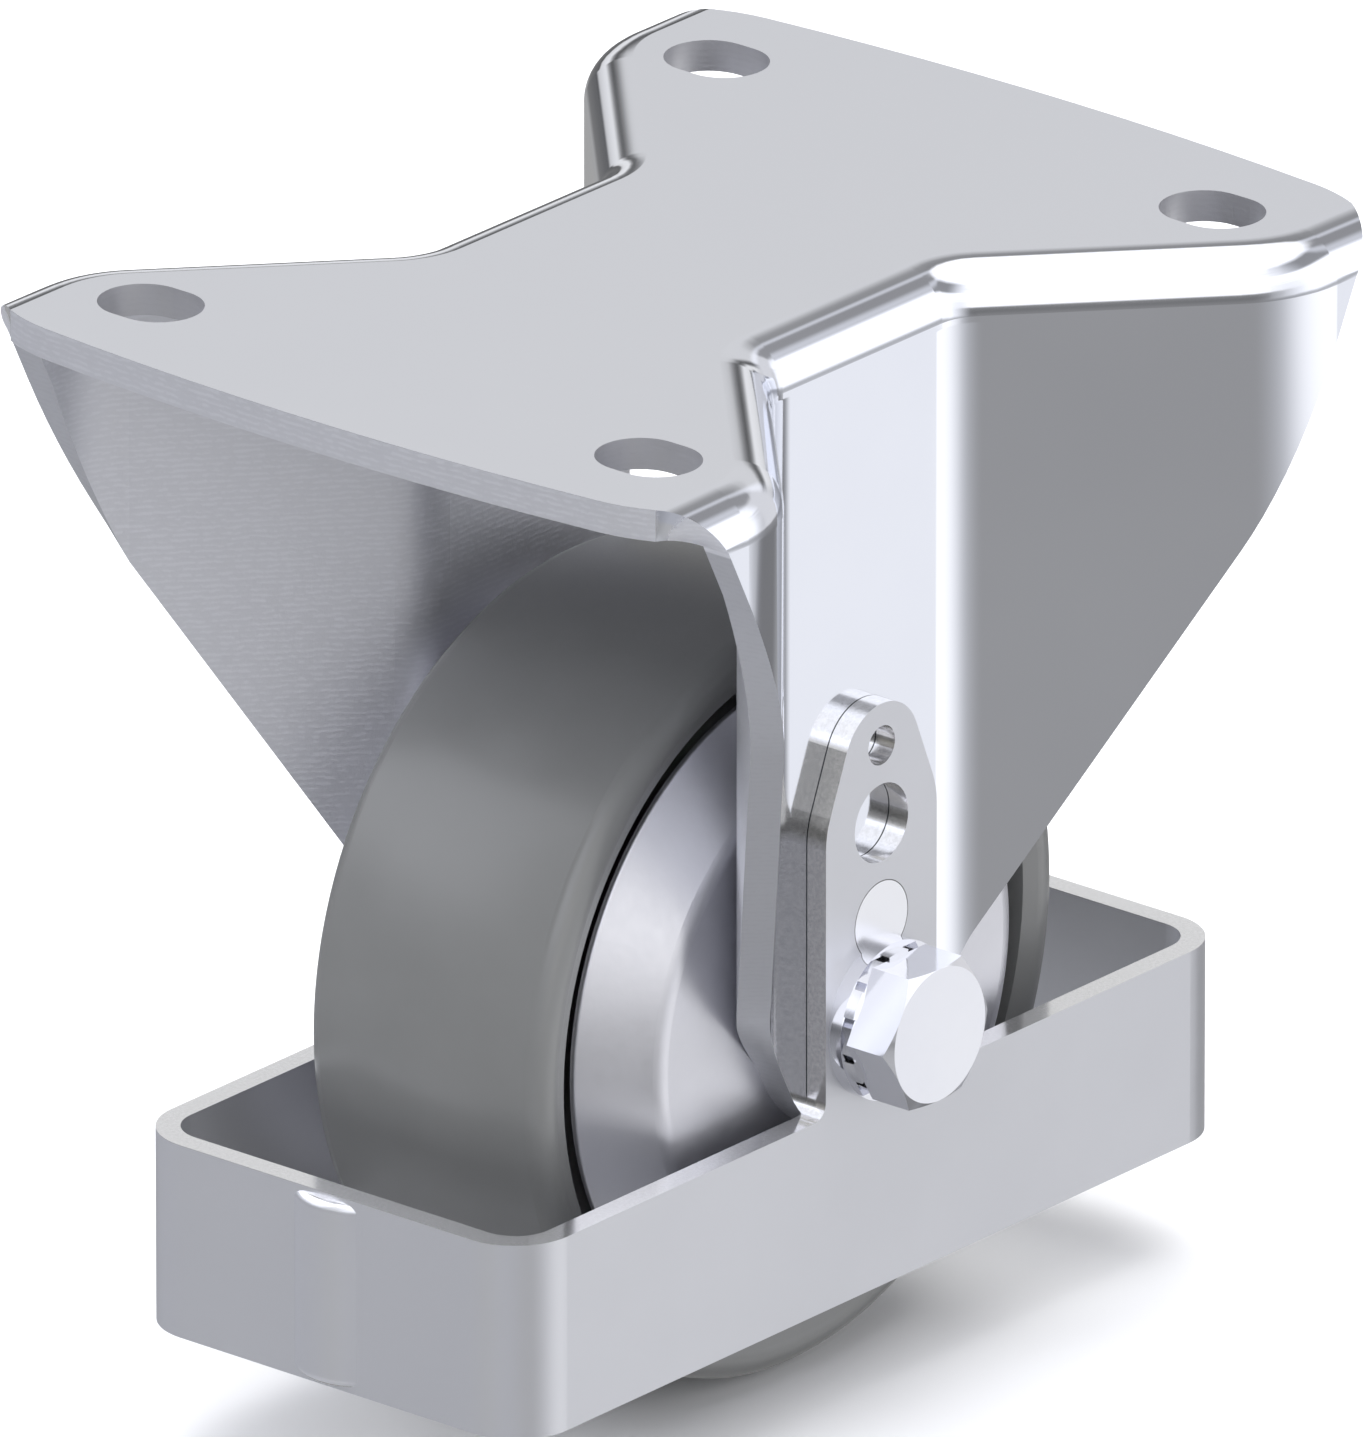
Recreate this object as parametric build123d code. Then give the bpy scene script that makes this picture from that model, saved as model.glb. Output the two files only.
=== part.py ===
from build123d import *
import math
import os

# Fixed caster: a pressed bracket, a foot guard, and a wheel on two ball bearings.
# The origin is the centre of the plate's top face. +Z is up, X runs along the axle with the
# bolt's head at +X, and Y is the direction of travel. All lengths are in millimetres.

# Bracket, pressed from one sheet
SHEET = 4.0
BEND_RADIUS = 6.0
LEG_GAP = 48.0
END_WIDTH = 112.4
PLATE_LENGTH = 138.0
WAIST_LENGTH = 34.8
FLARE_SPACING = 95.6
WAIST_FILLET = 6.5
FLARE_FILLET = 18.0
END_BOW_RADIUS = 435.0
CORNER_RADIUS = 22.0
CORNER_OVERHANG = 6.6
WING_LENGTH = 123.0
AXLE_DEPTH = 90.0
LEG_END_RADIUS = 15.0

# Slots in the plate, which run across the direction of travel
SLOT_SPACING_X = 77.5
SLOT_SPACING_Y = 105.0
SLOT_WIDTH = 11.0
SLOT_LENGTH = 13.5

# Foot guard, a flat bar bent into a frame
GUARD_SHEET = 3.0
GUARD_HEIGHT = 25.0
GUARD_LENGTH = 132.8
GUARD_CORNER = 8.0
GUARD_BELOW_AXLE = 10.0
LUG_HALF_WIDTH = 10.35
LUG_SHOULDER_RISE = 24.5
LUG_TOP_RISE = 40.4
LUG_TOP_RADIUS = 7.0
LUG_ROOT_FILLET = 2.0
TIE_HOLE_DIAMETER = 5.0
TIE_HOLE_RISE = 35.0
PIN_DIAMETER = 10.0
PIN_PITCH = 12.5
BEAD_WIDTH = 9.7
BEAD_HEIGHT = 1.6
BEAD_INSET = 0.6
BEAD_END_FILLET = 1.2

# Axle bolt, washers and nut
BOLT_DIAMETER = 10.0
BOLT_LENGTH = 80.0
HEX_WIDTH = 17.0
HEX_CHAMFER_ANGLE = 30.0
HEAD_HEIGHT = 6.4
HOLE_CLEARANCE = 0.2
WASHER_DIAMETER = 20.0
WASHER_THICKNESS = 2.0
LOCK_WASHER_DIAMETER = 18.0
LOCK_WASHER_THICKNESS = 0.75
LOCK_WASHER_NOTCHES = 12
NOTCH_WIDTH = 1.1
NOTCH_DEPTH = 1.2
NUT_HEX_HEIGHT = 7.0
NUT_HEIGHT = 10.0
NUT_COLLAR_DIAMETER = 15.0
INSERT_DIAMETER = 12.6
INSERT_THICKNESS = 2.2

# Ball bearings, axle tube and spacers
BEARING_BORE = 15.0
BEARING_DIAMETER = 35.0
BEARING_WIDTH = 11.0
BEARING_SPACING = 30.0
BALL_DIAMETER = 5.95
BALL_COUNT = 8
RING_WALL = 3.1
RUNNING_GAP = 0.03
CAGE_WALL = 2.0
CAGE_BACK = 3.6
CAGE_MOUTH = 2.0
POCKET_GAP = 0.12
SEAL_THICKNESS = 1.1
SEAL_RECESS = 0.4
SEAL_GROOVE = 0.5
SEAL_GAP = 0.15
SLEEVE_DIAMETER = 19.0
COLLAR_DIAMETER = 20.0
BEARING_CHAMFER = 0.6

# Wheel
WHEEL_DIAMETER = 100.0
TREAD_CROWN_RADIUS = 98.0
TREAD_WIDTH = 36.7
TREAD_SHOULDER_RADIUS = 2.8
TREAD_SIDE_LEAN = 20.0
TREAD_BORE = 86.0
RIM_WIDTH = 27.0
RIM_WALL = 4.5
WEB_THICKNESS = 10.0
HUB_DIAMETER = 44.0
HUB_INSET = 0.5
DRAFT = 3.0
WEB_FILLET = 4.0
BEARING_SHOULDER = 2.5

# Thread guards, pressed discs that cover the wheel's sides
DISC_SHEET = 1.5
DISC_EDGE_ROUNDING = 0.6
DISC_DIAMETER = 81.4
DISC_EDGE_WIDTH = 33.3
DISC_FLAT_DIAMETER = 65.0
DISC_FILLET = 3.0

# Derived places
LEG_OUT = LEG_GAP / 2 + SHEET
END_OUT = END_WIDTH / 2
BEND_START = END_OUT - BEND_RADIUS
BOW_CENTRE_Y = PLATE_LENGTH / 2 - END_BOW_RADIUS
CORNER_X = END_OUT + CORNER_OVERHANG - CORNER_RADIUS
BOW_END_X = CORNER_X * END_BOW_RADIUS / (END_BOW_RADIUS - CORNER_RADIUS)
PIN_DEPTH = AXLE_DEPTH - PIN_PITCH
SPARE_HOLE_DEPTH = PIN_DEPTH - PIN_PITCH
TIE_HOLE_DEPTH = AXLE_DEPTH - TIE_HOLE_RISE
LUG_SHOULDER_DEPTH = AXLE_DEPTH - LUG_SHOULDER_RISE
LUG_TOP_DEPTH = AXLE_DEPTH - LUG_TOP_RISE
GUARD_TOP_DEPTH = AXLE_DEPTH + GUARD_BELOW_AXLE
GUARD_OUT = LEG_OUT + GUARD_SHEET
HEAD_SEAT = GUARD_OUT + WASHER_THICKNESS + LOCK_WASHER_THICKNESS
NUT_SEAT = GUARD_OUT + WASHER_THICKNESS
BOLT_HOLE = BOLT_DIAMETER / 2 + HOLE_CLEARANCE
WHEEL_RADIUS = WHEEL_DIAMETER / 2
PITCH_RADIUS = (BEARING_BORE + BEARING_DIAMETER) / 4
INNER_SHOULDER = BEARING_BORE / 2 + RING_WALL
OUTER_SHOULDER = BEARING_DIAMETER / 2 - RING_WALL
BEARING_MID = BEARING_SPACING / 2
BEARING_FACE = BEARING_MID + BEARING_WIDTH / 2
BEARING_BACK = BEARING_MID - BEARING_WIDTH / 2
CUT_REACH = 30.0
SAME_PLACE = 0.001


def on_axle(shape):
    """Moves a shape made about the X axis down to the axle."""
    return Pos(0, 0, -AXLE_DEPTH) * shape


def turned(profile):
    """Turns a profile, drawn as (x along the axle, radius), about the axle."""
    return on_axle(revolve(profile, Axis.X))


def polygon(*points):
    """A face with straight sides through the given points."""
    return make_face(Polyline(*points, close=True))


def ring(inner, outer, start, end):
    """A plain ring about the axle, between two radii and two places along it."""
    return turned(polygon((start, inner), (end, inner), (end, outer), (start, outer)))


def cross_bar(radius, y, z, start, end):
    """A round bar or drill along X."""
    bar = Cylinder(radius, end - start, rotation=(0, 90, 0), align=(Align.CENTER, Align.CENTER, Align.MIN))
    return Pos(start, y, z) * bar


def hexagon_prism(start, end):
    """A hexagon prism about the X axis, with two flats level."""
    outline = Plane.YZ * RegularPolygon(HEX_WIDTH / 2, 6, major_radius=False)
    return Pos(start, 0, 0) * extrude(outline, end - start, dir=(1, 0, 0))


def wall_outline(run):
    """The hourglass that the outer walls follow, run on to y = run, past the plate's cut ends."""
    waist, flare = WAIST_LENGTH / 2, FLARE_SPACING / 2
    right = [(END_OUT, -run), (END_OUT, -flare), (LEG_OUT, -waist)]
    right += [(LEG_OUT, waist), (END_OUT, flare), (END_OUT, run)]
    left = [(-x, y) for x, y in reversed(right)]
    face = polygon(*right, *left)
    corners = face.vertices()
    face = fillet([v for v in corners if abs(abs(v.Y) - flare) < SAME_PLACE], FLARE_FILLET)
    corners = face.vertices()
    return fillet([v for v in corners if abs(abs(v.Y) - waist) < SAME_PLACE], WAIST_FILLET)


def rounded_block(outline, top, bottom, radius):
    """The outline pressed down as a block, its long top edges rounded."""
    block = Pos(0, 0, top) * extrude(outline, bottom - top)
    ends = PLATE_LENGTH / 2 + CUT_REACH / 2
    rim = block.edges().group_by(Axis.Z)[-1].filter_by(lambda e: abs(e.center().Y) < ends)
    return fillet(rim, radius)


def end_curve_y(x):
    """Where the plate's bowed end, with its round corner, is cut at a given x."""
    if x <= BOW_END_X:
        return BOW_CENTRE_Y + math.sqrt(END_BOW_RADIUS**2 - x**2)
    corner_y = BOW_CENTRE_Y + math.sqrt((END_BOW_RADIUS - CORNER_RADIUS) ** 2 - CORNER_X**2)
    return corner_y + math.sqrt(CORNER_RADIUS**2 - (x - CORNER_X) ** 2)


def wing_tangent():
    """Where the wing's straight edge runs into the leg's round end, as (y, z)."""
    reach = math.hypot(WING_LENGTH / 2, AXLE_DEPTH)
    lean = math.atan2(WING_LENGTH / 2, AXLE_DEPTH) - math.asin(LEG_END_RADIUS / reach)
    return LEG_END_RADIUS * math.cos(lean), -AXLE_DEPTH - LEG_END_RADIUS * math.sin(lean)


def wing_edge_y(z):
    """Where the wing's straight edge is at a given height."""
    y, low = wing_tangent()
    return WING_LENGTH / 2 + (y - WING_LENGTH / 2) * z / low


def plate_end_waste():
    """What is cut off beyond the bowed end of the plate, at +Y, up to the bends."""
    stops = (0, BOW_END_X / 2, BOW_END_X, (BOW_END_X + BEND_START) / 2, BEND_START)
    middle, on_bow, turn, on_corner, last = [(x, end_curve_y(x)) for x in stops]
    far = PLATE_LENGTH / 2 + 2 * CUT_REACH
    edge = Wire(
        [
            ThreePointArc(middle, on_bow, turn).edge(),
            ThreePointArc(turn, on_corner, last).edge(),
            Line(last, (BEND_START, far)).edge(),
            Line((BEND_START, far), (0, far)).edge(),
            Line((0, far), middle).edge(),
        ]
    )
    half = Pos(0, 0, -2 * BEND_RADIUS) * extrude(make_face(edge), 3 * BEND_RADIUS)
    return half + mirror(half, Plane.YZ)


def bend_end_waste():
    """What is cut off at the end of one bend, a face that twists from the plate into the wing."""
    start_y, end_y = end_curve_y(BEND_START), wing_edge_y(-BEND_RADIUS)
    far = PLATE_LENGTH / 2 + 2 * CUT_REACH
    inside, outside = (BEND_RADIUS - SHEET) / 2, 2 * BEND_RADIUS
    sections = []
    steps = 4
    for step in range(steps + 1):
        share = step / steps
        near = start_y + (end_y - start_y) * share
        flat = polygon((inside, near), (outside, near), (outside, far), (inside, far))
        turn = Rotation(0, share * 90 - 90, 0)
        sections.append(Pos(BEND_START, 0, -BEND_RADIUS) * turn * flat)
    return loft(sections)


def wall_waste():
    """What is cut off below the bends, outside the wings and the legs' round ends."""
    depth = AXLE_DEPTH + 2 * CUT_REACH
    width = END_WIDTH + CUT_REACH
    y, z = wing_tangent()
    top_y = wing_edge_y(-BEND_RADIUS)
    edge = Wire(
        [
            Line((-top_y, -BEND_RADIUS), (top_y, -BEND_RADIUS)).edge(),
            Line((top_y, -BEND_RADIUS), (y, z)).edge(),
            ThreePointArc((y, z), (0, -AXLE_DEPTH - LEG_END_RADIUS), (-y, z)).edge(),
            Line((-y, z), (-top_y, -BEND_RADIUS)).edge(),
        ]
    )
    kept = Pos(-width / 2, 0, 0) * extrude(Plane.YZ * make_face(edge), width, dir=(1, 0, 0))
    block = Box(width, PLATE_LENGTH + 4 * CUT_REACH, depth, align=(Align.CENTER, Align.CENTER, Align.MAX))
    return Pos(0, 0, -BEND_RADIUS) * block - kept


def plate_slots():
    """The four slots, as solids to cut."""
    slot = SlotOverall(SLOT_LENGTH, SLOT_WIDTH)
    pattern = Sketch() + GridLocations(SLOT_SPACING_X, SLOT_SPACING_Y, 2, 2) * slot
    return extrude(pattern, 2 * SHEET, both=True)


def bracket():
    """The pressed bracket: plate, walls, wings and legs in one sheet."""
    run = PLATE_LENGTH / 2 + CUT_REACH
    bottom = -AXLE_DEPTH - CUT_REACH
    inside = offset(wall_outline(run + 2 * SHEET), -SHEET)
    outer = rounded_block(wall_outline(run), 0, bottom, BEND_RADIUS)
    inner = rounded_block(inside, -SHEET, bottom - SHEET, BEND_RADIUS - SHEET)
    shell = outer - inner - wall_waste() - plate_slots()
    end = plate_end_waste()
    shell = shell - end - mirror(end, Plane.XZ)
    corner = bend_end_waste()
    other = mirror(corner, Plane.YZ)
    shell = shell - corner - other - mirror(corner, Plane.XZ) - mirror(other, Plane.XZ)
    for side in (-1, 1):
        start = side * (LEG_GAP / 2 + SHEET / 2) - SHEET
        shell -= cross_bar(BOLT_HOLE, 0, -AXLE_DEPTH, start, start + 2 * SHEET)
        shell -= cross_bar(PIN_DIAMETER / 2, 0, -PIN_DEPTH, start, start + 2 * SHEET)
    return shell


def guard_lug():
    """The lug beside the +X leg, with its tie hole, spare pin hole, pin hole and bolt hole."""
    top = Pos(0, -LUG_TOP_DEPTH - LUG_TOP_RADIUS) * Circle(LUG_TOP_RADIUS)
    shoulder = Pos(0, -LUG_SHOULDER_DEPTH) * Circle(LUG_HALF_WIDTH)
    face = make_hull(top.edges() + shoulder.edges())
    foot_depth = GUARD_TOP_DEPTH + GUARD_HEIGHT / 2
    stem = Rectangle(2 * LUG_HALF_WIDTH, foot_depth - LUG_SHOULDER_DEPTH)
    face += Pos(0, -(foot_depth + LUG_SHOULDER_DEPTH) / 2) * stem
    face -= Pos(0, -TIE_HOLE_DEPTH) * Circle(TIE_HOLE_DIAMETER / 2)
    face -= Pos(0, -SPARE_HOLE_DEPTH) * Circle(PIN_DIAMETER / 2)
    face -= Pos(0, -PIN_DEPTH) * Circle(PIN_DIAMETER / 2)
    face -= Pos(0, -AXLE_DEPTH) * Circle(BOLT_HOLE)
    return Pos(LEG_OUT, 0, 0) * extrude(Plane.YZ * face, GUARD_SHEET, dir=(1, 0, 0))


def weld_bead():
    """The bead over the guard's joint, a low rounded bar on the -Y end."""
    radius = (BEAD_WIDTH**2 / 4 + BEAD_HEIGHT**2) / (2 * BEAD_HEIGHT)
    outside = -GUARD_LENGTH / 2
    bar = Cylinder(radius, GUARD_HEIGHT - 2 * BEAD_INSET, align=(Align.CENTER, Align.CENTER, Align.MAX))
    bar = Pos(0, outside - BEAD_HEIGHT + radius, -GUARD_TOP_DEPTH - BEAD_INSET) * bar
    bar = fillet(bar.edges().filter_by(GeomType.CIRCLE), BEAD_END_FILLET)
    keep = Box(BEAD_WIDTH, 2 * GUARD_SHEET, 2 * GUARD_HEIGHT)
    return bar & Pos(0, outside, -GUARD_TOP_DEPTH - GUARD_HEIGHT / 2) * keep


def guard():
    """The foot guard: closed band, two lugs and the weld bead."""
    outer = RectangleRounded(2 * GUARD_OUT, GUARD_LENGTH, GUARD_CORNER)
    inner = RectangleRounded(2 * LEG_OUT, GUARD_LENGTH - 2 * GUARD_SHEET, GUARD_CORNER - GUARD_SHEET)
    band = Pos(0, 0, -GUARD_TOP_DEPTH) * extrude(outer - inner, -GUARD_HEIGHT)
    lug = guard_lug()
    frame = band + lug + mirror(lug, Plane.YZ)
    on_top = frame.edges().filter_by(Axis.X).filter_by_position(Axis.Z, -GUARD_TOP_DEPTH, -GUARD_TOP_DEPTH)
    roots = [e for e in on_top if abs(abs(e.center().Y) - LUG_HALF_WIDTH) < SAME_PLACE]
    return fillet(roots, LUG_ROOT_FILLET) + weld_bead()


def locating_pin():
    """The pin through the +X leg and lug, flush with the lug's face."""
    return cross_bar(PIN_DIAMETER / 2, 0, -PIN_DEPTH, LEG_GAP / 2, GUARD_OUT)


def hexagon_cap(start, end):
    """A hexagon prism on the axle, its corners cut back by a cone at the end face."""
    flat, wide = HEX_WIDTH / 2, HEX_WIDTH
    drop = math.copysign((wide - flat) * math.tan(math.radians(HEX_CHAMFER_ANGLE)), end - start)
    cone = polygon((start, 0), (start, wide), (end - drop, wide), (end, flat), (end, 0))
    prism = hexagon_prism(min(start, end), max(start, end))
    return on_axle(prism & revolve(cone, Axis.X))


def axle_bolt():
    """The hexagon bolt, its head at +X."""
    tip = HEAD_SEAT - BOLT_LENGTH
    point = BOLT_DIAMETER / 10
    radius = BOLT_DIAMETER / 2
    side = [(HEAD_SEAT, 0), (HEAD_SEAT, radius), (tip + point, radius), (tip, radius - point), (tip, 0)]
    return hexagon_cap(HEAD_SEAT, HEAD_SEAT + HEAD_HEIGHT) + turned(polygon(*side))


def lock_washer():
    """The ribbed lock washer between the bolt's head and the flat washer."""
    radius = LOCK_WASHER_DIAMETER / 2
    washer = ring(BOLT_HOLE, radius, NUT_SEAT, HEAD_SEAT)
    notch = Pos(NUT_SEAT, 0, radius) * Box(4 * LOCK_WASHER_THICKNESS, NOTCH_WIDTH, 2 * NOTCH_DEPTH)
    for index in range(LOCK_WASHER_NOTCHES):
        angle = 360 * (index + 0.5) / LOCK_WASHER_NOTCHES
        washer -= on_axle(Rotation(angle, 0, 0) * notch)
    return washer


def axle_nut():
    """The lock nut at -X: hexagon with a round collar that holds the insert."""
    collar = NUT_COLLAR_DIAMETER / 2
    lip = BOLT_DIAMETER / 2 + (collar - BOLT_DIAMETER / 2) / 2
    hexagon = hexagon_cap(-NUT_SEAT, -NUT_SEAT - NUT_HEX_HEIGHT)
    end = NUT_SEAT + NUT_HEIGHT
    insert_back = end - INSERT_THICKNESS - (NUT_HEIGHT - NUT_HEX_HEIGHT - INSERT_THICKNESS) / 2
    nut = hexagon + ring(0, collar, -end, -NUT_SEAT)
    nut -= ring(0, BOLT_DIAMETER / 2, -end, -NUT_SEAT)
    nut -= ring(0, INSERT_DIAMETER / 2, -insert_back - INSERT_THICKNESS, -insert_back)
    return nut - ring(0, min(lip, INSERT_DIAMETER / 2), -end, -insert_back)


def nut_insert():
    """The nut's locking ring."""
    end = NUT_SEAT + NUT_HEIGHT
    back = end - INSERT_THICKNESS - (NUT_HEIGHT - NUT_HEX_HEIGHT - INSERT_THICKNESS) / 2
    return ring(BOLT_DIAMETER / 2, INSERT_DIAMETER / 2, -back - INSERT_THICKNESS, -back)


def tread():
    """The tyre: crowned tread, round shoulders, and sides that lean in to a sharp lip."""
    shoulder_x = TREAD_WIDTH / 2 - TREAD_SHOULDER_RADIUS
    crown_centre = WHEEL_RADIUS - TREAD_CROWN_RADIUS
    shoulder_r = crown_centre + math.sqrt((TREAD_CROWN_RADIUS - TREAD_SHOULDER_RADIUS) ** 2 - shoulder_x**2)
    first = math.asin(shoulder_x / (TREAD_CROWN_RADIUS - TREAD_SHOULDER_RADIUS))
    last = math.radians(90 + TREAD_SIDE_LEAN)

    def on_shoulder(angle):
        x = shoulder_x + TREAD_SHOULDER_RADIUS * math.sin(angle)
        return x, shoulder_r + TREAD_SHOULDER_RADIUS * math.cos(angle)

    def flipped(point):
        return -point[0], point[1]

    top, side, end = on_shoulder(first), on_shoulder((first + last) / 2), on_shoulder(last)
    bore = TREAD_BORE / 2
    lip = (end[0] - (end[1] - bore) * math.tan(math.radians(TREAD_SIDE_LEAN)), bore)
    edge = Wire(
        [
            ThreePointArc(flipped(top), (0, WHEEL_RADIUS), top).edge(),
            ThreePointArc(top, side, end).edge(),
            Line(end, lip).edge(),
            Line(lip, flipped(lip)).edge(),
            Line(flipped(lip), flipped(end)).edge(),
            ThreePointArc(flipped(end), flipped(side), flipped(top)).edge(),
        ]
    )
    return turned(make_face(edge))


def wheel_centre():
    """Rim, web and hub in one casting, with a bearing seat at each side."""
    rim_x, web_x, hub_x = RIM_WIDTH / 2, WEB_THICKNESS / 2, BEARING_FACE - HUB_INSET
    seat_r, bore_r = TREAD_BORE / 2, BEARING_DIAMETER / 2
    slope = math.tan(math.radians(DRAFT))
    rim_r = seat_r - RIM_WALL
    hub_r = HUB_DIAMETER / 2
    right = [
        (rim_x, seat_r),
        (rim_x, rim_r),
        (web_x, rim_r - (rim_x - web_x) * slope),
        (web_x, hub_r + (hub_x - web_x) * slope),
        (hub_x, hub_r),
        (hub_x, bore_r),
        (BEARING_BACK, bore_r),
        (BEARING_BACK, bore_r - BEARING_SHOULDER),
    ]
    left = [(-x, r) for x, r in reversed(right)]
    face = polygon(*right, *left)
    web_corners = [v for v in face.vertices() if abs(abs(v.X) - web_x) < SAME_PLACE]
    return turned(fillet(web_corners, WEB_FILLET))


def thread_guard():
    """The disc over the wheel's +X side: a flat that lies against the leg, and a cone down to its edge."""
    outside = FilletPolyline(
        (LEG_GAP / 2, BEARING_BORE / 2),
        (LEG_GAP / 2, DISC_FLAT_DIAMETER / 2),
        (DISC_EDGE_WIDTH / 2, DISC_DIAMETER / 2),
        radius=DISC_FILLET,
    )
    section = make_face(offset(outside, DISC_SHEET, side=Side.LEFT, closed=True))
    rim = section.vertices().sort_by(Axis.Y)[-2:]
    return turned(fillet(rim, DISC_EDGE_ROUNDING))


def race_groove():
    """The ring of space that the balls of a bearing centred on x = 0 run in."""
    return turned(Pos(0, PITCH_RADIUS) * Circle(BALL_DIAMETER / 2 + RUNNING_GAP))


def bearing_outer():
    """Outer ring, with the ball groove and a seal seat at each side."""
    radius = BEARING_DIAMETER / 2
    half = BEARING_WIDTH / 2
    body = ring(OUTER_SHOULDER, radius, -half, half) - race_groove()
    seat = ring(0, OUTER_SHOULDER + SEAL_GROOVE, half - SEAL_RECESS - SEAL_THICKNESS, half)
    body -= seat + mirror(seat, Plane.YZ)
    rims = [e for e in body.edges().filter_by(GeomType.CIRCLE) if abs(e.radius - radius) < SAME_PLACE]
    return chamfer(rims, BEARING_CHAMFER)


def bearing_inner():
    """Inner ring, with the ball groove."""
    radius = BEARING_BORE / 2
    half = BEARING_WIDTH / 2
    body = ring(radius, INNER_SHOULDER, -half, half) - race_groove()
    rims = [e for e in body.edges().filter_by(GeomType.CIRCLE) if abs(e.radius - radius) < SAME_PLACE]
    return chamfer(rims, BEARING_CHAMFER / 2)


def around_pitch(shape):
    """Copies of a shape at each ball's place, made about the axle."""
    places = [Rotation(360 * i / BALL_COUNT, 0, 0) * Pos(0, 0, PITCH_RADIUS) for i in range(BALL_COUNT)]
    return [on_axle(place * shape) for place in places]


def bearing_balls():
    """The set of balls."""
    return Compound(around_pitch(Sphere(BALL_DIAMETER / 2)))


def bearing_cage():
    """The cage, a ring with one open-mouthed pocket for each ball."""
    half = CAGE_WALL / 2
    body = ring(PITCH_RADIUS - half, PITCH_RADIUS + half, -CAGE_BACK, CAGE_MOUTH)
    for pocket in around_pitch(Sphere(BALL_DIAMETER / 2 + POCKET_GAP)):
        body -= pocket
    return body


def bearing_seal():
    """The seal at the +X side of a bearing, held in the outer ring."""
    face = BEARING_WIDTH / 2 - SEAL_RECESS
    return ring(INNER_SHOULDER + SEAL_GAP, OUTER_SHOULDER + SEAL_GROOVE, face - SEAL_THICKNESS, face)


def bearing(name, side):
    """All pieces of one bearing; side is 1 at +X and -1 at -X."""
    seal = bearing_seal()
    pieces = {
        "outer_ring": bearing_outer(),
        "inner_ring": bearing_inner(),
        "balls": bearing_balls(),
        "cage": bearing_cage(),
        "seal_outside": seal,
        "seal_inside": mirror(seal, Plane.YZ),
    }
    if side < 0:
        pieces = {key: mirror(shape, Plane.YZ) for key, shape in pieces.items()}
    return {f"bearing_{name}_{key}": Pos(side * BEARING_MID, 0, 0) * shape for key, shape in pieces.items()}


def build():
    """Every node of the caster by name."""
    bore, leg = BEARING_BORE / 2, LEG_GAP / 2
    pin = locating_pin()
    washer = ring(BOLT_HOLE, WASHER_DIAMETER / 2, GUARD_OUT, NUT_SEAT)
    collar = ring(bore, COLLAR_DIAMETER / 2, BEARING_FACE, leg - DISC_SHEET)
    disc = thread_guard()
    nodes = {
        "bracket": bracket(),
        "guard": guard(),
        "locating_pin_near": pin,
        "locating_pin_far": mirror(pin, Plane.YZ),
        "axle_bolt": axle_bolt(),
        "lock_washer": lock_washer(),
        "washer_near": washer,
        "washer_far": mirror(washer, Plane.YZ),
        "axle_nut": axle_nut(),
        "nut_insert": nut_insert(),
        "axle_tube": ring(BOLT_HOLE, bore, -leg, leg),
        "spacer_sleeve": ring(bore, SLEEVE_DIAMETER / 2, -BEARING_BACK, BEARING_BACK),
        "collar_near": collar,
        "collar_far": mirror(collar, Plane.YZ),
        "thread_guard_near": disc,
        "thread_guard_far": mirror(disc, Plane.YZ),
        "tread": tread(),
        "wheel_centre": wheel_centre(),
    }
    nodes.update(bearing("near", 1))
    nodes.update(bearing("far", -1))
    return nodes


def main():
    """Writes each node to its own file."""
    os.makedirs("parts", exist_ok=True)
    for name, shape in build().items():
        export_step(shape, f"parts/{name}.step")


main()
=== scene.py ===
import math

import bpy
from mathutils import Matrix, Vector


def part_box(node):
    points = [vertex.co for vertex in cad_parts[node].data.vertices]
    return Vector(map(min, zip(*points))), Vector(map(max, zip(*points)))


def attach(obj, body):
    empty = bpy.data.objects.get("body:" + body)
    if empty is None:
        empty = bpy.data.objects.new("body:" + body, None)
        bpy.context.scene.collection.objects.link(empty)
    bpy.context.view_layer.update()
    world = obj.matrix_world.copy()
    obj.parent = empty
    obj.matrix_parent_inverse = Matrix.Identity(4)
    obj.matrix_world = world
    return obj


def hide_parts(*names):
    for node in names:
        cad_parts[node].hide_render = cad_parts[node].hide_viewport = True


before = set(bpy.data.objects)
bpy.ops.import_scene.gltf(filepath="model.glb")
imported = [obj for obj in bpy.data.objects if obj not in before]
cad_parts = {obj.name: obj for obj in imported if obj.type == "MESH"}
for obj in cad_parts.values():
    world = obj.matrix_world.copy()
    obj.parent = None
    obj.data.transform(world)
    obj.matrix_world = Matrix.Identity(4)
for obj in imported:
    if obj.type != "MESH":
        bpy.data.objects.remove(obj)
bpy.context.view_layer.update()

# Lengths are in metres. The origin is the centre of the plate's top face, +Z is up, and +X runs
# along the axle towards the bolt's head.
FLOOR_Z = -0.140
GUARD_TOP = -0.100

# The photo's view, as fitted to the plate, the wheel and the bolt: a long lens from far away.
VIEW_AZIMUTH = 40.0
VIEW_ELEVATION = 22.0
VIEW_POINT = Vector((0.0, 0.0, -0.0596))
FRAME_HEIGHT = 0.1724
LENS = 1200.0
SENSOR = 36.0

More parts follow.
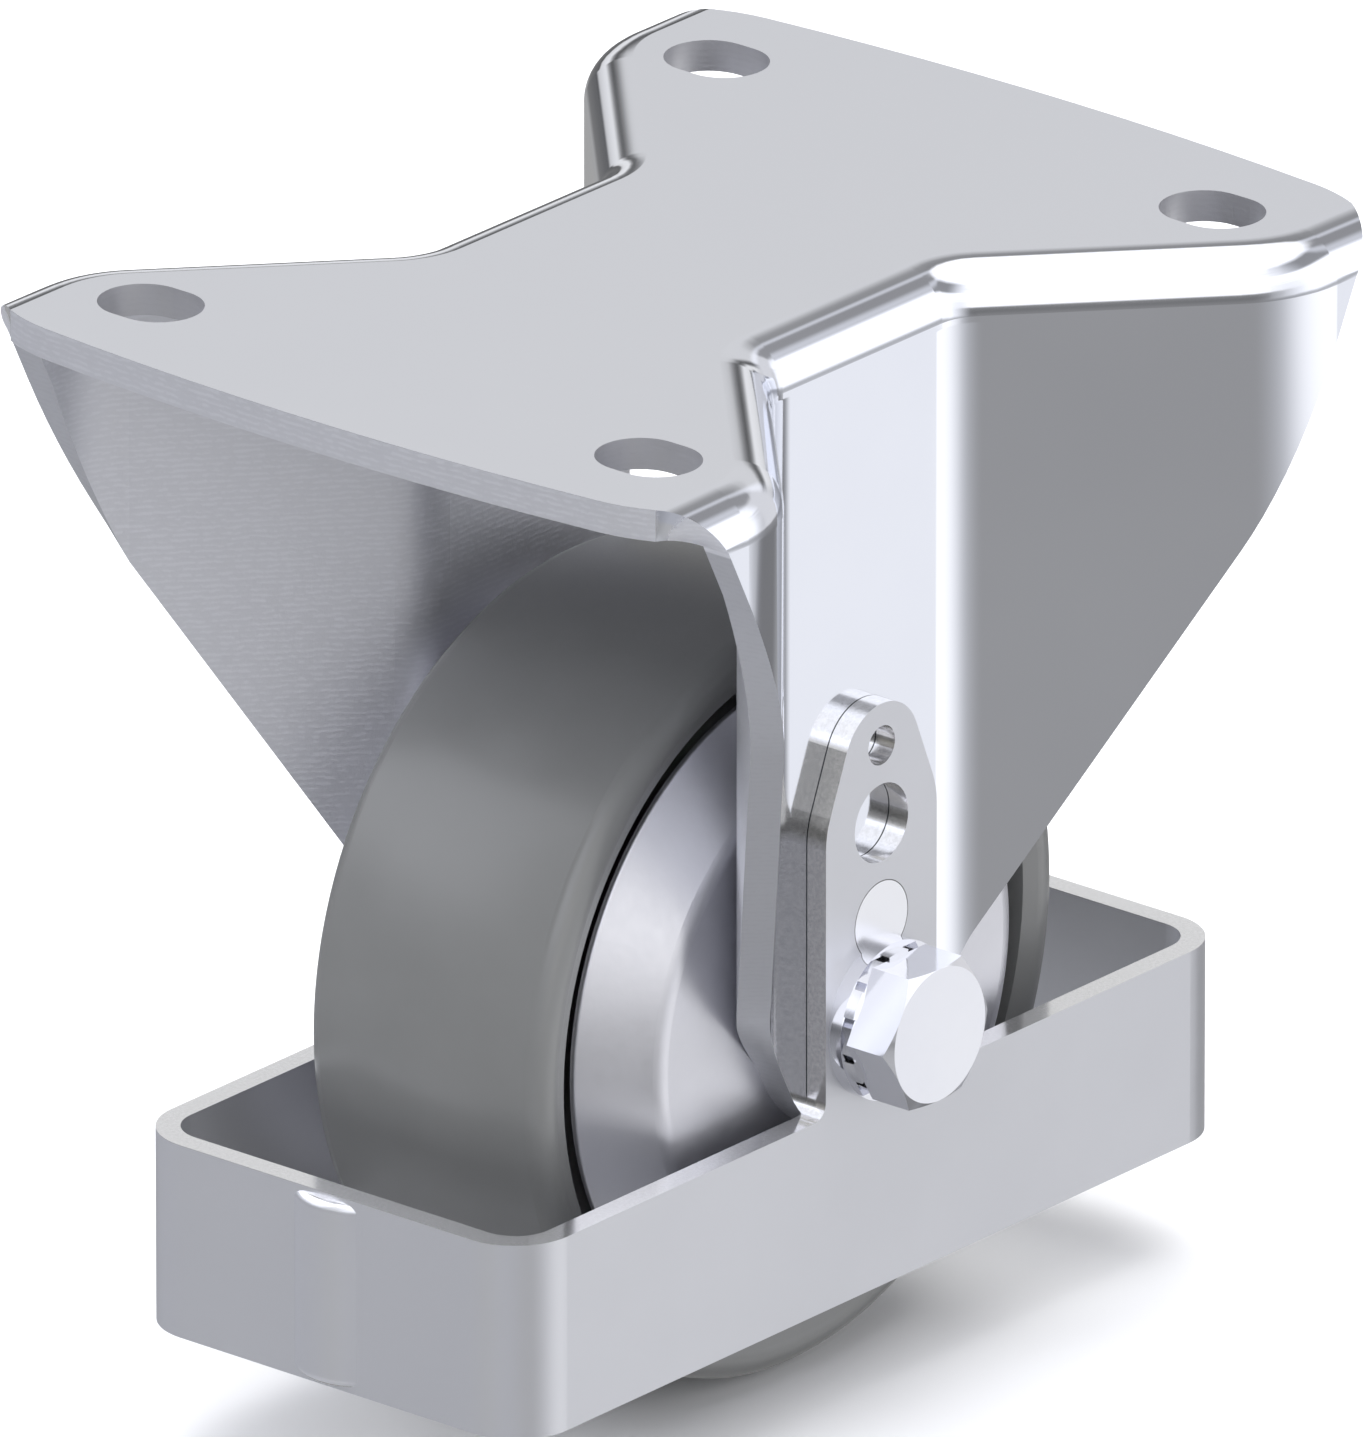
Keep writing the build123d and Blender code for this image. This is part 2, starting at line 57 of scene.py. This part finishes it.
# The bracket's sheet, and the outline of its walls seen from above: a leg, a curve out at the waist,
# a leaning wing, and a curve back at the flare. Each radius is that of the wall's outer face, and each
# y is where its curve meets the leg or the end. The walls' sloping edge follows
# |y| = EDGE_TOP_Y + EDGE_SLOPE * z.
SHEET = 0.004
LEG_X, END_X = 0.028, 0.0562
WING_SINE = math.sin(math.radians(42.85))
WAIST_Y, WAIST_RADIUS = 0.014849, 0.0065
FLARE_Y, FLARE_RADIUS = 0.054863, 0.018
EDGE_TOP_Y, EDGE_SLOPE = 0.0615, 0.49719

# The waist's curve as the photo's highlight has it. Only the plating's surface normal follows this one.
SOFT_WAIST_Y, SOFT_WAIST_RADIUS = 0.01336, 0.0103

# Where parts of the bracket's surface begin, each as the places where a mask is 0 and where it is 1:
# heights for the plate and for the walls below the bend, and |y| for the slots and the waist.
ON_PLATE = (-0.0053, -0.005)
BELOW_BEND = (-0.0066, -0.0069)
AMONG_SLOTS = (0.0605, 0.06)
BY_WAIST = (0.0212, 0.021)

# How near to the sloping edge, or to its ends, a vertex has to be, and how near to its tilt a face, to
# belong to it.
EDGE_REACH = 3e-5
END_REACH = 1e-5
TILT_REACH = 0.02

# The heights at which the guard's lugs begin, and the width and start of the painted shade line in the
# crevice between lug and leg.
LUG_START = (GUARD_TOP - 0.0002, GUARD_TOP + 0.0002)
SEAM_SHADE = 0.00012
SEAM_SHADE_START = (GUARD_TOP + 0.0015, GUARD_TOP + 0.0025)

# The distance from a locating pin's centre at which its painted shade rim, the shade in the gap around the
# pin, begins and is full.
PIN_SHADE_RIM = (0.00482, 0.00494)

BUMP_DISTANCE = 0.0002


class Graph:
    """A node tree, with short calls to add nodes and join them. A value is a number, a colour or a socket."""

    def __init__(self, tree):
        self.tree = tree
        tree.nodes.clear()

    def add(self, kind, inputs=None, **settings):
        node = self.tree.nodes.new(kind)
        for key, value in settings.items():
            setattr(node, key, value)
        for key, value in (inputs or {}).items():
            if isinstance(value, bpy.types.NodeSocket):
                self.tree.links.new(value, node.inputs[key])
            else:
                node.inputs[key].default_value = value
        return node

    def split(self, vector):
        """The x, y and z of a vector."""
        return self.add("ShaderNodeSeparateXYZ", {0: vector}).outputs

    def math(self, operation, a, b=0.0):
        return self.add("ShaderNodeMath", {0: a, 1: b}, operation=operation).outputs[0]

    def times(self, a, b):
        return self.math("MULTIPLY", a, b)

    def absolute(self, value):
        return self.math("ABSOLUTE", value)

    def sum_of_shares(self, first, first_share, second, second_share):
        return self.math("ADD", self.times(first, first_share), self.times(second, second_share))

    def between(self, share, first, second):
        """first where share is 0, and second where it is 1."""
        return self.math("ADD", first, self.times(self.math("SUBTRACT", second, first), share))

    def ramp(self, value, low, high, to_low=0.0, to_high=1.0, smooth=True):
        """value carried from low..high to to_low..to_high, held outside."""
        inputs = {0: value, 1: low, 2: high, 3: to_low, 4: to_high}
        kind = "SMOOTHSTEP" if smooth else "LINEAR"
        return self.add("ShaderNodeMapRange", inputs, interpolation_type=kind).outputs[0]

    def noise(self, where, scale, detail=3.0):
        inputs = {"Vector": where, "Scale": scale, "Detail": detail}
        return self.add("ShaderNodeTexNoise", inputs).outputs["Fac"]

    def stretched(self, where, scale):
        return self.add("ShaderNodeMapping", {"Vector": where, "Scale": scale}).outputs[0]

    def mix_colour(self, share, first, second):
        return self.add("ShaderNodeMix", {0: share, 6: first, 7: second}, data_type="RGBA").outputs[2]

    def tint(self, noise, dark, light, low=0.3, high=0.7):
        """A colour that follows a noise, from dark at low to light at high."""
        return self.mix_colour(self.ramp(noise, low, high), dark, light)

    def relief(self, height, strength, **others):
        """The surface normal with bumps of this height on it."""
        inputs = {"Strength": strength, "Distance": BUMP_DISTANCE, "Height": height, **others}
        return self.add("ShaderNodeBump", inputs).outputs[0]

    def surface(self, inputs):
        shader = self.add("ShaderNodeBsdfPrincipled", inputs)
        self.add("ShaderNodeOutputMaterial", {"Surface": shader.outputs[0]})


def colour(r, g, b):
    return (r, g, b, 1.0)


def new_material(name):
    material = bpy.data.materials.new(name)
    material.use_nodes = True
    return material, Graph(material.node_tree)


def metal(name, dark, light, rough_low, rough_high, grain=(1.0, 1.0, 1.0), bump=0.02):
    """Plated or turned metal: cloudy colour, uneven gloss and a fine grain."""
    material, graph = new_material(name)
    where = graph.add("ShaderNodeTexCoord").outputs["Object"]
    cloud = graph.noise(where, 40.0, 4.0)
    fine = graph.noise(graph.stretched(where, grain), 900.0, 2.0)
    gloss = graph.sum_of_shares(cloud, 0.6, fine, 0.4)
    graph.surface({
        "Base Color": graph.tint(cloud, dark, light), "Metallic": 1.0,
        "Roughness": graph.ramp(gloss, 0.35, 0.65, rough_low, rough_high),
        "Normal": graph.relief(fine, bump)})
    return material


def rolled_grain(graph, where):
    """Broken fine rows, and a finer noise over them."""
    fine = graph.noise(where, 2600.0, 2.0)
    rows = graph.add("ShaderNodeTexWave", {
        "Vector": where, "Scale": 420.0, "Distortion": 2.5, "Detail": 1.0, "Detail Scale": 1.2},
        wave_type="BANDS", bands_direction="Z").outputs["Fac"]
    dashes = graph.noise(graph.stretched(where, (1.0, 1.0, 2.4)), 750.0, 1.0)
    weave = graph.times(rows, graph.ramp(dashes, 0.4, 0.6, 0.35, 1.0))
    return graph.sum_of_shares(fine, 0.5, weave, 0.5)


def softened_waist(graph, place, facing, normal, outwards):
    """The surface normal, turned at the waist as a curve of SOFT_WAIST_RADIUS would turn it."""
    x, y, z = place
    far_y = graph.absolute(y)
    lean = graph.math("DIVIDE", graph.math("SUBTRACT", far_y, SOFT_WAIST_Y), SOFT_WAIST_RADIUS)
    lean = graph.math("MINIMUM", graph.math("MAXIMUM", lean, 0.0), WING_SINE)
    rise = graph.math("SQRT", graph.math("SUBTRACT", 1.0, graph.times(lean, lean)))
    soft = graph.add("ShaderNodeCombineXYZ", {
        0: graph.times(rise, graph.math("SIGN", x)),
        1: graph.times(lean, graph.math("SIGN", graph.times(y, -1.0)))}).outputs[0]
    upright = graph.times(graph.ramp(graph.absolute(facing[2]), 0.04, 0.01), graph.ramp(z, *BELOW_BEND))
    share = graph.times(graph.times(upright, graph.ramp(far_y, *BY_WAIST)), outwards)
    bent = graph.add("ShaderNodeMix", {0: share, 4: normal, 5: soft}, data_type="VECTOR",
                     factor_mode="UNIFORM").outputs[1]
    return graph.add("ShaderNodeVectorMath", {0: bent}, operation="NORMALIZE").outputs[0]


def pressed_sheet():
    """The bracket's plated sheet: mirror-like outside, duller with a fine rolled grain inside and on cuts."""
    material, graph = new_material("bracket_plating")
    coords = graph.add("ShaderNodeTexCoord")
    where, normal = coords.outputs["Object"], coords.outputs["Normal"]
    place, facing = graph.split(where), graph.split(normal)

    # outside is 1 on the sheet's outer face, which looks away from the middle or up, and 0 on what looks
    # down and on the plate's cut ends.
    outwards = graph.ramp(graph.times(graph.math("SIGN", place[0]), facing[0]), 0.05, 0.2)
    outside = graph.math("MAXIMUM", outwards, graph.ramp(facing[2], 0.1, 0.4))
    outside = graph.times(outside, graph.ramp(facing[2], -0.35, -0.2))
    upright = graph.ramp(graph.absolute(facing[2]), 0.06, 0.02)
    plate_cut = graph.times(upright, graph.ramp(place[2], *ON_PLATE))
    outside = graph.times(outside, graph.math("SUBTRACT", 1.0, plate_cut))
    slot_wall_shade = graph.times(plate_cut, graph.ramp(graph.absolute(place[1]), *AMONG_SLOTS))
    wall_cut_shade = graph.times(graph.ramp(facing[2], -0.3, -0.4), graph.ramp(place[2], *BELOW_BEND))

    cloud = graph.noise(where, 25.0)
    grain = rolled_grain(graph, where)
    inner = graph.tint(grain, colour(0.735, 0.74, 0.78), colour(0.785, 0.79, 0.83))
    outer = graph.tint(cloud, colour(0.78, 0.795, 0.85), colour(0.81, 0.825, 0.88))
    base = graph.mix_colour(outside, inner, outer)
    # Painted shade: the slots' walls and the walls' down-facing cut edges get a darker grey than the plate's
    # other cut ends, standing in for the shade in the slots and under the edges.
    base = graph.mix_colour(slot_wall_shade, base, colour(0.52, 0.52, 0.545))
    base = graph.mix_colour(wall_cut_shade, base, colour(0.51, 0.515, 0.545))
    rough_inner = graph.ramp(grain, 0.3, 0.7, 0.42, 0.52)
    rough_outer = graph.ramp(cloud, 0.3, 0.7, 0.07, 0.1)
    height = graph.times(grain, graph.math("SUBTRACT", 1.0, outside))
    bent = softened_waist(graph, place, facing, normal, outwards)
    graph.surface({
        "Base Color": base, "Metallic": graph.ramp(outside, 0.0, 1.0, 0.8, 1.0, smooth=False),
        "Roughness": graph.between(outside, rough_inner, rough_outer),
        "Normal": graph.relief(height, 0.08, Normal=bent)})
    return material


def guard_sheet():
    """The guard's plated bar: satin faces, bright sheared cuts on its lugs, holes and long edges, and painted
    light and shade by facing.
    """
    material, graph = new_material("guard_plating")
    coords = graph.add("ShaderNodeTexCoord")
    where = coords.outputs["Object"]
    place, facing = graph.split(where), graph.split(coords.outputs["Normal"])
    height = place[2]
    cloud = graph.noise(where, 30.0)
    fine = graph.noise(where, 2200.0)

    # cut is 1 on the sheared faces: the lugs' edges and holes, and the bar's top and bottom.
    lug_cut = graph.times(graph.ramp(height, *LUG_START), graph.ramp(graph.absolute(facing[0]), 0.6, 0.3))
    cut = graph.math("MAXIMUM", lug_cut, graph.ramp(graph.absolute(facing[2]), 0.5, 0.8))
    lit_ends = graph.ramp(graph.absolute(facing[1]), 0.55, 0.95)
    beside_leg = graph.ramp(graph.absolute(place[0]), LEG_X + SEAM_SHADE, LEG_X + SEAM_SHADE / 2)
    seam_shade = graph.times(graph.ramp(height, *SEAM_SHADE_START), beside_leg)

    satin = graph.tint(cloud, colour(0.6, 0.605, 0.635), colour(0.63, 0.635, 0.665))
    # Painted light: the bar's end faces, which look along Y, get a lighter copy of the satin plating than its
    # long sides.
    satin = graph.mix_colour(lit_ends, satin, colour(0.79, 0.795, 0.83))
    # Painted light and shade on the cuts: the same sheared steel is lightest where a cut looks up, mid grey
    # where it stands upright, and darkest where it tilts slightly up.
    top = graph.tint(fine, colour(0.8, 0.8, 0.81), colour(0.88, 0.88, 0.89), 0.35, 0.65)
    slope = graph.tint(fine, colour(0.45, 0.44, 0.405), colour(0.5, 0.485, 0.445), 0.35, 0.65)
    side = graph.tint(fine, colour(0.63, 0.615, 0.605), colour(0.7, 0.685, 0.675), 0.35, 0.65)
    sheared = graph.mix_colour(graph.ramp(facing[2], 0.02, 0.15), side, slope)
    sheared = graph.mix_colour(graph.ramp(facing[2], 0.44, 0.5), sheared, top)
    base = graph.mix_colour(cut, satin, sheared)
    # Painted shade: the lug's cut face right beside the leg turns near-black, standing in for the shade in
    # the crevice between lug and leg.
    base = graph.mix_colour(seam_shade, base, colour(0.04, 0.04, 0.045))
    rough_satin = graph.ramp(cloud, 0.3, 0.7, 0.37, 0.42)
    rough_cut = graph.ramp(fine, 0.3, 0.7, 0.12, 0.17)
    graph.surface({
        "Base Color": base, "Metallic": 0.85, "Roughness": graph.between(cut, rough_satin, rough_cut),
        "Normal": graph.relief(fine, 0.012)})
    return material


def soft_material(name, dark, light, rough_low, rough_high, bump=0.05, specular=0.5):
    """Rubber or plastic: cloudy colour, uneven gloss and a fine moulded texture."""
    material, graph = new_material(name)
    where = graph.add("ShaderNodeTexCoord").outputs["Object"]
    cloud = graph.noise(where, 37.5, 4.0)
    fine = graph.noise(where, 2400.0, 2.0)
    gloss = graph.sum_of_shares(cloud, 0.5, fine, 0.5)
    graph.surface({
        "Base Color": graph.tint(cloud, dark, light), "Specular IOR Level": specular,
        "Roughness": graph.ramp(gloss, 0.35, 0.65, rough_low, rough_high),
        "Normal": graph.relief(fine, bump)})
    return material


def pin_plating(centre):
    """The locating pins' plating: a blurred glow, and a painted shade line where each pin's face meets its
    hole.
    """
    material, graph = new_material("pin_plating")
    where = graph.add("ShaderNodeTexCoord").outputs["Object"]
    place = graph.split(where)
    beside = graph.math("SUBTRACT", place[1], centre.y)
    above = graph.math("SUBTRACT", place[2], centre.z)
    apart = graph.math("SQRT", graph.math("ADD", graph.times(beside, beside), graph.times(above, above)))
    cloud = graph.noise(where, 60.0)
    face = graph.tint(cloud, colour(0.86, 0.865, 0.9), colour(0.91, 0.915, 0.94))
    # Painted shade: the pin face's outer edge turns near-black, where shade falls in the gap between pin and
    # hole.
    base = graph.mix_colour(graph.ramp(apart, *PIN_SHADE_RIM), face, colour(0.08, 0.08, 0.085))
    graph.surface({"Base Color": base, "Metallic": 1.0, "Roughness": graph.ramp(cloud, 0.3, 0.7, 0.22, 0.28)})
    return material


def put(material, *names):
    """Give the CAD objects of these names the material."""
    for name in names:
        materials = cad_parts[name].data.materials
        materials.clear()
        materials.append(material)


sheet_steel = pressed_sheet()
guard_steel = guard_sheet()
bright_steel = metal("bright_plating", colour(0.78, 0.785, 0.83), colour(0.83, 0.835, 0.87), 0.08, 0.14)
pin_low, pin_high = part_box("locating_pin_near")
pin_steel = pin_plating((pin_low + pin_high) / 2)
washer_steel = metal("washer_plating", colour(0.76, 0.765, 0.79), colour(0.84, 0.845, 0.87), 0.16, 0.24)
disc_steel = metal("disc_plating", colour(0.7, 0.7, 0.74), colour(0.76, 0.76, 0.8), 0.4, 0.46, bump=0.06)
turned_steel = metal("turned_steel", colour(0.5, 0.5, 0.52), colour(0.6, 0.6, 0.62), 0.25, 0.35,
                     grain=(1.0, 8.0, 8.0))
ground_steel = metal("ground_steel", colour(0.62, 0.62, 0.64), colour(0.7, 0.7, 0.72), 0.1, 0.18)
cast_aluminium = metal("cast_aluminium", colour(0.55, 0.55, 0.56), colour(0.65, 0.65, 0.66), 0.4, 0.55,
                       bump=0.15)
tyre_rubber = soft_material("tyre_rubber", colour(0.158, 0.16, 0.158), colour(0.175, 0.177, 0.175),
                            0.28, 0.34, bump=0.02, specular=0.8)
seal_rubber = soft_material("seal_rubber", colour(0.02, 0.02, 0.022), colour(0.035, 0.035, 0.037), 0.5, 0.65)
cage_plastic = soft_material("cage_plastic", colour(0.1, 0.09, 0.07), colour(0.13, 0.12, 0.09), 0.4, 0.5)
insert_plastic = soft_material("insert_plastic", colour(0.1, 0.2, 0.5), colour(0.14, 0.25, 0.55), 0.35, 0.45)

put(sheet_steel, "bracket")
put(guard_steel, "guard")
put(bright_steel, "axle_bolt", "axle_nut", "washer_near", "washer_far")
put(pin_steel, "locating_pin_near", "locating_pin_far")
put(washer_steel, "lock_washer")
put(disc_steel, "thread_guard_near", "thread_guard_far")
put(turned_steel, "axle_tube", "spacer_sleeve", "collar_near", "collar_far")
put(cast_aluminium, "wheel_centre")
put(tyre_rubber, "tread")
put(insert_plastic, "nut_insert")
for side in ("near", "far"):
    put(ground_steel, *[f"bearing_{side}_{piece}" for piece in ("outer_ring", "inner_ring", "balls")])
    put(seal_rubber, *[f"bearing_{side}_{piece}" for piece in ("seal_outside", "seal_inside")])
    put(cage_plastic, f"bearing_{side}_cage")


def wall_lean(y, waist_radius, flare_radius):
    """The sine and cosine of the angle that the wall makes with the leg, at a distance y from the middle."""
    sine = max(0.0, min(WING_SINE, (y - WAIST_Y) / waist_radius, (FLARE_Y - y) / flare_radius))
    return sine, math.sqrt(1.0 - sine * sine)


def outer_face_x(y, cosine):
    """The x of the wall's outer face at a distance y from the middle, where its lean has this cosine."""
    slope = WING_SINE / cosine
    if y < (WAIST_Y + FLARE_Y) / 2:
        curve_end = WAIST_Y + WAIST_RADIUS * WING_SINE
        return LEG_X + WAIST_RADIUS * (1.0 - cosine) + max(0.0, y - curve_end) * slope
    curve_start = FLARE_Y - FLARE_RADIUS * WING_SINE
    return END_X - FLARE_RADIUS * (1.0 - cosine) - max(0.0, curve_start - y) * slope


def cut_normal(x, y, sine, cosine):
    """The normal of an edge cut square to the wall, at a vertex on the edge."""
    side, end = math.copysign(1.0, x), math.copysign(1.0, y)
    through = Vector((side * cosine, -end * sine, 0.0))
    along = Vector((side * sine / cosine, end, 1.0 / EDGE_SLOPE))
    normal = through.cross(along).normalized()
    return normal if normal.y * end > 0.0 else -normal


def square_cut(mesh):
    """Move the inner corner of each wall's edge along the wall's own surface, so that the cut is square."""
    normals = [Vector(corner.vector) for corner in mesh.corner_normals]
    cut_normals, new_heights = {}, {}
    for vertex in mesh.vertices:
        x, y, z = vertex.co
        far_y = abs(y)
        on_edge = abs(far_y - EDGE_TOP_Y - EDGE_SLOPE * z) <= EDGE_REACH
        if not on_edge or not WAIST_Y - END_REACH < far_y < FLARE_Y + END_REACH:
            continue
        sine, cosine = wall_lean(far_y, WAIST_RADIUS, FLARE_RADIUS)
        if abs(x) < outer_face_x(far_y, cosine) - SHEET / 2:
            sine, cosine = wall_lean(far_y, WAIST_RADIUS + SHEET, FLARE_RADIUS - SHEET)
            new_heights[vertex.index] = (far_y - SHEET * sine - EDGE_TOP_Y) / EDGE_SLOPE
        cut_normals[vertex.index] = cut_normal(x, y, sine, cosine)

    edge_tilt = -EDGE_SLOPE / math.sqrt(1.0 + EDGE_SLOPE * EDGE_SLOPE)
    for face in mesh.polygons:
        tilted = abs(face.normal.z - edge_tilt) < TILT_REACH
        if tilted and all(index in cut_normals for index in face.vertices):
            for corner, index in zip(face.loop_indices, face.vertices):
                normals[corner] = cut_normals[index]
    for index, height in new_heights.items():
        mesh.vertices[index].co.z = height
    mesh.update()
    mesh.normals_split_custom_set(normals)


def square_cut_bracket():
    """The bracket with its walls' edges cut square to the sheet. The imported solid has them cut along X."""
    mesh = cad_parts["bracket"].data.copy()
    square_cut(mesh)
    piece = bpy.data.objects.new("bracket_square_cut", mesh)
    bpy.context.scene.collection.objects.link(piece)
    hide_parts("bracket")
    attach(piece, "frame")


def floor():
    """A plain pale floor, which mirror-like faces don't show."""
    bpy.ops.mesh.primitive_plane_add(size=24.0, location=(0.0, 0.0, FLOOR_Z))
    plane = bpy.context.object
    plane.name = "floor"
    material, graph = new_material("floor_paper")
    where = graph.add("ShaderNodeTexCoord").outputs["Object"]
    cloud = graph.noise(where, 3.0, 2.0)
    base = graph.mix_colour(cloud, colour(0.93, 0.93, 0.935), colour(0.96, 0.96, 0.965))
    graph.surface({"Base Color": base, "Roughness": 0.9, "Specular IOR Level": 0.1})
    plane.data.materials.append(material)
    plane.visible_glossy = False


def direction(azimuth, elevation):
    """A unit vector; azimuth is counted from +X towards +Y, in degrees."""
    a, e = math.radians(azimuth), math.radians(elevation)
    return Vector((math.cos(a) * math.cos(e), math.sin(a) * math.cos(e), math.sin(e)))


# What the room shows in each direction, as (elevation in degrees, brightness) from the floor up.
ROOM = {
    "left": [(-60, 0.5), (-40, 0.5), (-26, 0.36), (-20, 0.32), (-14, 0.28), (-5, 0.14), (1, 0.2), (5, 0.38),
             (12, 0.42), (14, 1.1), (16, 0.25), (18, 1.9), (50, 1.9), (90, 1.7)],
    "side": [(-60, 0.5), (-40, 0.5), (-26, 0.36), (-20, 0.32), (-14, 0.28), (-5, 0.14), (1, 0.18), (5, 0.28),
             (12, 0.3), (18, 0.4), (45, 0.5), (60, 1.6), (90, 1.7)],
    "front": [(-60, 0.5), (-40, 0.5), (-24, 0.37), (-17, 0.34), (-8, 0.2), (-2, 0.3), (1, 1.4), (38, 1.4),
              (40, 1.2), (42, 1.4), (90, 1.5)],
    "right": [(-60, 0.22), (-40, 0.5), (-25, 1.01), (-19, 1.01), (-15, 0.5), (-13, 0.55), (-11, 1.4),
              (29, 1.4), (33, 0.35), (48, 0.33), (54, 1.5), (90, 1.5)],
    "gap": [(-60, 0.22), (-40, 0.25), (-25, 0.22), (-19, 0.22), (-15, 0.3), (-13, 0.3), (-11, 0.8),
            (29, 0.8), (33, 0.35), (48, 0.33), (54, 1.5), (90, 1.5)],
    "back": [(-60, 0.3), (-40, 0.4), (-22, 0.37), (-17, 0.4), (-13, 0.2), (-2, 0.14), (0, 0.06), (2, 0.8),
             (10, 0.95), (12.5, 0.3), (15, 0.07), (18, 0.3), (20.5, 0.76), (30, 0.76), (40, 0.35),
             (50, 0.28), (54, 1.5), (90, 1.5)],
}
TINTS = {
    "left": (0.98, 1.0, 1.07),
    "side": (1.0, 1.01, 1.0),
    "front": (1.0, 1.0, 1.0),
    "right": (0.99, 1.0, 1.03),
    "gap": (1.0, 1.0, 1.02),
    "back": (1.0, 1.0, 1.0),
}
# The azimuths, in degrees from +X towards +Y, over which each direction comes in and goes out again.
# "left" fills what the others leave.
REACH = {
    "side": (-126, -112, -92, -78),
    "front": (-50, -42, -28, 30),
    "right": (-28, 30, 50.5, 72),
    "gap": (50.5, 72, 86, 102),
    "back": (86, 102, 150, 164),
}
# A soft low lamp between front and right: where it comes in and goes out, in azimuth and in elevation.
GLOW_AZIMUTHS = (-8, 40, 44, 48)
GLOW_ELEVATIONS = (-42, -28, -18, -14)
GLOW = 1.3


def room_profile(graph, name, height):
    """One direction's brightness by elevation; height is 0 straight down and 1 straight up."""
    node = graph.add("ShaderNodeValToRGB", {"Fac": height})
    stops = node.color_ramp.elements
    for index, (angle, brightness) in enumerate(ROOM[name]):
        place = (angle + 90.0) / 180.0
        stop = stops[index] if index < 2 else stops.new(place)
        stop.position = place
        stop.color = colour(*(brightness * tint for tint in TINTS[name]))
    return node.outputs["Color"]


def window(graph, angle, start, full, fade, end):
    """1 between full and fade, and 0 before start and after end."""
    return graph.times(graph.ramp(angle, start, full), graph.ramp(angle, end, fade))


def studio():
    """A room with soft panels, which gives the light and what the metal reflects."""
    world = bpy.data.worlds.new("studio")
    bpy.context.scene.world = world
    world.use_nodes = True
    graph = Graph(world.node_tree)
    x, y, z = graph.split(graph.add("ShaderNodeTexCoord").outputs["Generated"])
    azimuth = graph.math("DEGREES", graph.math("ARCTAN2", y, x))
    elevation = graph.math("DEGREES", graph.math("ARCSINE", z))
    height = graph.ramp(elevation, -90.0, 90.0, smooth=False)
    total = room_profile(graph, "left", height)
    for name, reach in REACH.items():
        total = graph.mix_colour(window(graph, azimuth, *reach), total, room_profile(graph, name, height))
    glow = graph.times(window(graph, azimuth, *GLOW_AZIMUTHS), window(graph, elevation, *GLOW_ELEVATIONS))
    total = graph.mix_colour(glow, total, colour(GLOW, GLOW, GLOW))
    surface = graph.add("ShaderNodeBackground", {"Color": total, "Strength": 1.0})
    graph.add("ShaderNodeOutputWorld", {"Surface": surface.outputs[0]})


def aim(item, azimuth, elevation, distance):
    """Set the item at this distance from the view point, looking at it."""
    bpy.context.scene.collection.objects.link(item)
    away = direction(azimuth, elevation)
    item.location = VIEW_POINT + away * distance
    item.rotation_mode = "QUATERNION"
    item.rotation_quaternion = away.to_track_quat("Z", "Y")


def lamp(name, azimuth, elevation, distance, size, power):
    """A round lamp that mirror-like faces don't show."""
    data = bpy.data.lights.new(name, "AREA")
    data.shape = "DISK"
    data.size = size
    data.energy = power
    item = bpy.data.objects.new(name, data)
    aim(item, azimuth, elevation, distance)
    item.visible_glossy = False


def camera():
    """The photo's view."""
    data = bpy.data.cameras.new("camera")
    data.sensor_fit = "VERTICAL"
    data.sensor_height = SENSOR
    data.sensor_width = SENSOR
    data.lens = LENS
    data.clip_start, data.clip_end = 0.1, 50.0
    item = bpy.data.objects.new("camera", data)
    aim(item, VIEW_AZIMUTH - 90.0, VIEW_ELEVATION, FRAME_HEIGHT * LENS / SENSOR)
    bpy.context.scene.camera = item


square_cut_bracket()
floor()
studio()
lamp("key", azimuth=120.0, elevation=75.0, distance=3.5, size=3.5, power=70.0)
camera()
bpy.context.scene.view_settings.view_transform = "Standard"
